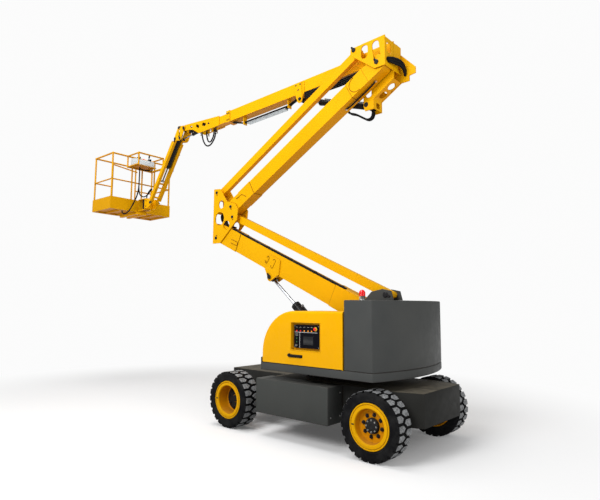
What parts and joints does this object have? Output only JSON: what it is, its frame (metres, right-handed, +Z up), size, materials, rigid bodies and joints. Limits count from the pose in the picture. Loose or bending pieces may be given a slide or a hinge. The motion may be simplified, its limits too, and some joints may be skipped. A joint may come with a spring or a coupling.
{
  "type": "articulating boom lift",
  "caption": "Self-propelled lift with folding risers, a telescopic boom, a jib and a railed work platform.",
  "frame": {"origin": "on the floor, under the middle of the whole machine's box", "axes": "+X from the drive axle towards the platform, +Y to the machine's left, +Z up"},
  "size_m": [7.1754, 1.704, 4.9568],
  "materials": {
    "yellow_paint": "semi-gloss yellow paint",
    "grey_paint": "satin dark grey paint",
    "dark_steel": "satin black paint",
    "chrome": "hard chrome",
    "tyre": "worn rubber",
    "hose": "black rubber",
    "lamp": "red lens",
    "console": "light grey plastic"
  },
  "bodies": {
    "chassis": {"chassis_frame": "grey_paint", "front_axle": "dark_steel", "rear_axle": "dark_steel", "side_box_left": "grey_paint", "side_box_right": "grey_paint", "slew_ring": "dark_steel"},
    "knuckle_fl": {"steer_knuckle_fl": "dark_steel"},
    "knuckle_fr": {"steer_knuckle_fr": "dark_steel"},
    "tie_rod": {"tie_rod": "dark_steel"},
    "wheel_rl": {"hub_rl": "dark_steel", "rim_rl": "yellow_paint", "tyre_rl": "tyre"},
    "wheel_rr": {"hub_rr": "dark_steel", "rim_rr": "yellow_paint", "tyre_rr": "tyre"},
    "wheel_fl": {"rim_fl": "yellow_paint", "tyre_fl": "tyre"},
    "wheel_fr": {"rim_fr": "yellow_paint", "tyre_fr": "tyre"},
    "turret": {"beacon": "lamp", "counterweight": "grey_paint", "ground_panel": "dark_steel", "hood_left": "yellow_paint", "hood_right": "yellow_paint", "riser_stand": "grey_paint", "turret_tray": "grey_paint"},
    "lower_riser": {"lower_riser": "yellow_paint"},
    "lower_knuckle": {"lower_knuckle": "yellow_paint"},
    "lower_tie": {"lower_tie": "yellow_paint"},
    "upper_tie": {"upper_tie": "yellow_paint"},
    "upper_riser": {"hose_knuckle": "hose", "upper_riser": "yellow_paint"},
    "top_knuckle": {"top_knuckle": "yellow_paint"},
    "main_boom": {"hose_carrier": "chrome", "main_boom": "yellow_paint"},
    "inner_boom": {"hose_head_left": "hose", "hose_head_right": "hose", "inner_boom": "yellow_paint"},
    "jib_link": {"jib_link": "yellow_paint"},
    "jib_arm": {"jib_arm": "yellow_paint"},
    "basket_mount": {"basket_mount": "yellow_paint", "rotator": "dark_steel"},
    "basket": {"basket_bracket": "yellow_paint", "basket_floor": "yellow_paint", "basket_rails": "yellow_paint", "cable_console": "hose", "console": "console"},
    "gate_bar": {"gate_bar": "yellow_paint"},
    "riser_cylinder_barrel": {"riser_cylinder_barrel": "dark_steel"},
    "riser_cylinder_rod": {"riser_cylinder_rod": "chrome"},
    "boom_cylinder_barrel": {"boom_cylinder_barrel": "dark_steel"},
    "boom_cylinder_rod": {"boom_cylinder_rod": "chrome"},
    "jib_cylinder_barrel": {"jib_cylinder_barrel": "dark_steel"},
    "jib_cylinder_rod": {"jib_cylinder_rod": "chrome"},
    "level_cylinder_barrel": {"level_cylinder_barrel": "dark_steel"},
    "level_cylinder_rod": {"level_cylinder_rod": "chrome"}
  },
  "joints": [
    {"name": "wheel_rl_roll", "type": "hinge", "parent": "chassis", "child": "wheel_rl", "pos_m": [-3.16774, 0.727, 0.355], "axis": [0, 1, 0], "continuous": true},
    {"name": "wheel_rr_roll", "type": "hinge", "parent": "chassis", "child": "wheel_rr", "pos_m": [-3.16774, -0.683, 0.355], "axis": [0, 1, 0], "continuous": true},
    {"name": "steer_fl", "type": "hinge", "parent": "chassis", "child": "knuckle_fl", "pos_m": [-1.01774, 0.522, 0.355], "axis": [0, 0, 1], "range_deg": [-30, 30]},
    {"name": "wheel_fl_roll", "type": "hinge", "parent": "knuckle_fl", "child": "wheel_fl", "pos_m": [-1.01774, 0.727, 0.355], "axis": [0, 1, 0], "continuous": true},
    {"name": "steer_fr", "type": "hinge", "parent": "chassis", "child": "knuckle_fr", "pos_m": [-1.01774, -0.478, 0.355], "axis": [0, 0, 1], "range_deg": [-30, 30]},
    {"name": "wheel_fr_roll", "type": "hinge", "parent": "knuckle_fr", "child": "wheel_fr", "pos_m": [-1.01774, -0.683, 0.355], "axis": [0, 1, 0], "continuous": true},
    {"name": "tie_rod_slide", "type": "slide", "parent": "chassis", "child": "tie_rod", "axis": [0, 1, 0], "range_m": [-0.0975, 0.0975]},
    {"name": "turret_slew", "type": "hinge", "parent": "chassis", "child": "turret", "pos_m": [-2.21774, 0.022, 0.79], "axis": [0, 0, 1], "range_deg": [-177.5, 177.5]},
    {"name": "riser_lift", "type": "hinge", "parent": "turret", "child": "lower_riser", "pos_m": [-2.57274, 0.022, 1.403], "axis": [0, -1, 0], "range_deg": [-20, 40]},
    {"name": "lower_tie_swing", "type": "hinge", "parent": "turret", "child": "lower_tie", "pos_m": [-2.95174, 0.022, 1.7], "axis": [0, -1, 0], "range_deg": [-20.01, 40.01]},
    {"name": "lower_knuckle_level", "type": "hinge", "parent": "lower_riser", "child": "lower_knuckle", "pos_m": [0.14233, 0.022, 2.6289], "axis": [0, -1, 0], "range_deg": [-40.01, 20.01]},
    {"name": "upper_riser_lift", "type": "hinge", "parent": "lower_knuckle", "child": "upper_riser", "pos_m": [-0.19367, 0.022, 3.0939], "axis": [0, -1, 0], "range_deg": [-40.01, 20.01]},
    {"name": "upper_tie_swing", "type": "hinge", "parent": "lower_knuckle", "child": "upper_tie", "pos_m": [0.14633, 0.022, 3.3639], "axis": [0, -1, 0], "range_deg": [-40.01, 20.01]},
    {"name": "top_knuckle_level", "type": "hinge", "parent": "upper_riser", "child": "top_knuckle", "pos_m": [-2.8683, 0.022, 4.5887], "axis": [0, -1, 0], "range_deg": [-20.01, 40.01]},
    {"name": "riser_cylinder_swing", "type": "hinge", "parent": "turret", "child": "riser_cylinder_barrel", "pos_m": [-2.06774, 0.022, 1.05], "axis": [0, -1, 0], "range_deg": [-21.01, 42]},
    {"name": "riser_cylinder_stroke", "type": "slide", "parent": "riser_cylinder_barrel", "child": "riser_cylinder_rod", "axis": [0.7583, 0, 0.6519], "range_m": [-0.1681, 0.3358]},
    {"name": "boom_lift", "type": "hinge", "parent": "top_knuckle", "child": "main_boom", "pos_m": [-2.8873, -0.182, 4.7987], "axis": [0, -1, 0], "range_deg": [-8, 60]},
    {"name": "boom_extend", "type": "slide", "parent": "main_boom", "child": "inner_boom", "axis": [0.9997, 0, -0.0262], "range_m": [0, 2.2]},
    {"name": "boom_cylinder_swing", "type": "hinge", "parent": "top_knuckle", "child": "boom_cylinder_barrel", "pos_m": [-2.5743, -0.182, 4.1797], "axis": [0, -1, 0], "range_deg": [-7.18, 53.81]},
    {"name": "jib_link_level", "type": "hinge", "parent": "inner_boom", "child": "jib_link", "pos_m": [1.41842, -0.182, 4.808], "axis": [0, -1, 0], "range_deg": [-60.01, 8.01]},
    {"name": "level_cylinder_swing", "type": "hinge", "parent": "inner_boom", "child": "level_cylinder_barrel", "pos_m": [0.89167, -0.182, 4.70975], "axis": [0, -1, 0], "range_deg": [-7.17, 0.96]},
    {"name": "boom_cylinder_stroke", "type": "slide", "parent": "boom_cylinder_barrel", "child": "boom_cylinder_rod", "axis": [0.9449, 0, 0.3274], "range_m": [-0.0852, 0.6356]},
    {"name": "level_cylinder_stroke", "type": "slide", "parent": "level_cylinder_barrel", "child": "level_cylinder_rod", "axis": [0.9937, 0, -0.1118], "range_m": [-0.1998, 0.0271]},
    {"name": "jib_lift", "type": "hinge", "parent": "jib_link", "child": "jib_arm", "pos_m": [1.67342, -0.182, 4.656], "axis": [0, -1, 0], "range_deg": [-5, 75]},
    {"name": "jib_cylinder_swing", "type": "hinge", "parent": "jib_link", "child": "jib_cylinder_barrel", "pos_m": [1.56342, -0.182, 4.841], "axis": [0, -1, 0], "range_deg": [-4.26, 63.84]},
    {"name": "jib_cylinder_stroke", "type": "slide", "parent": "jib_cylinder_barrel", "child": "jib_cylinder_rod", "axis": [0.5545, 0, -0.8322], "range_m": [-0.1315, 0.0092]},
    {"name": "basket_level", "type": "hinge", "parent": "jib_arm", "child": "basket_mount", "pos_m": [2.43274, -0.182, 3.54704], "axis": [0, -1, 0], "range_deg": [-75.01, 5.01]},
    {"name": "basket_turn", "type": "hinge", "parent": "basket_mount", "child": "basket", "pos_m": [2.70274, -0.182, 3.54704], "axis": [0, 0, 1], "range_deg": [-80, 80]},
    {"name": "gate_lift", "type": "hinge", "parent": "basket", "child": "gate_bar", "pos_m": [3.52784, 0.09737, 4.45884], "axis": [-1, 0, 0], "range_deg": [0, 100]}
  ],
  "couplings": [
    {"joint": "steer_fr", "follows": "steer_fl", "ratio": 1},
    {"joint": "tie_rod_slide", "follows": "steer_fl", "m_per_rad": -0.18525},
    {"joint": "lower_tie_swing", "follows": "riser_lift", "ratio": 1},
    {"joint": "lower_knuckle_level", "follows": "riser_lift", "ratio": -1},
    {"joint": "upper_riser_lift", "follows": "riser_lift", "ratio": -1},
    {"joint": "upper_tie_swing", "follows": "riser_lift", "ratio": -1},
    {"joint": "top_knuckle_level", "follows": "riser_lift", "ratio": 1},
    {"joint": "riser_cylinder_swing", "follows": "riser_lift", "ratio": 1.0498},
    {"joint": "riser_cylinder_stroke", "follows": "riser_lift", "m_per_rad": 0.48025},
    {"joint": "boom_cylinder_swing", "follows": "boom_lift", "ratio": 0.8966},
    {"joint": "jib_link_level", "follows": "boom_lift", "ratio": -1},
    {"joint": "level_cylinder_swing", "follows": "boom_lift", "ratio": -0.1193},
    {"joint": "boom_cylinder_stroke", "follows": "boom_lift", "m_per_rad": 0.60649},
    {"joint": "level_cylinder_stroke", "follows": "boom_lift", "m_per_rad": -0.19035},
    {"joint": "jib_cylinder_swing", "follows": "jib_lift", "ratio": 0.851},
    {"joint": "jib_cylinder_stroke", "follows": "jib_lift", "m_per_rad": -0.10011},
    {"joint": "basket_level", "follows": "jib_lift", "ratio": -1}
  ]
}
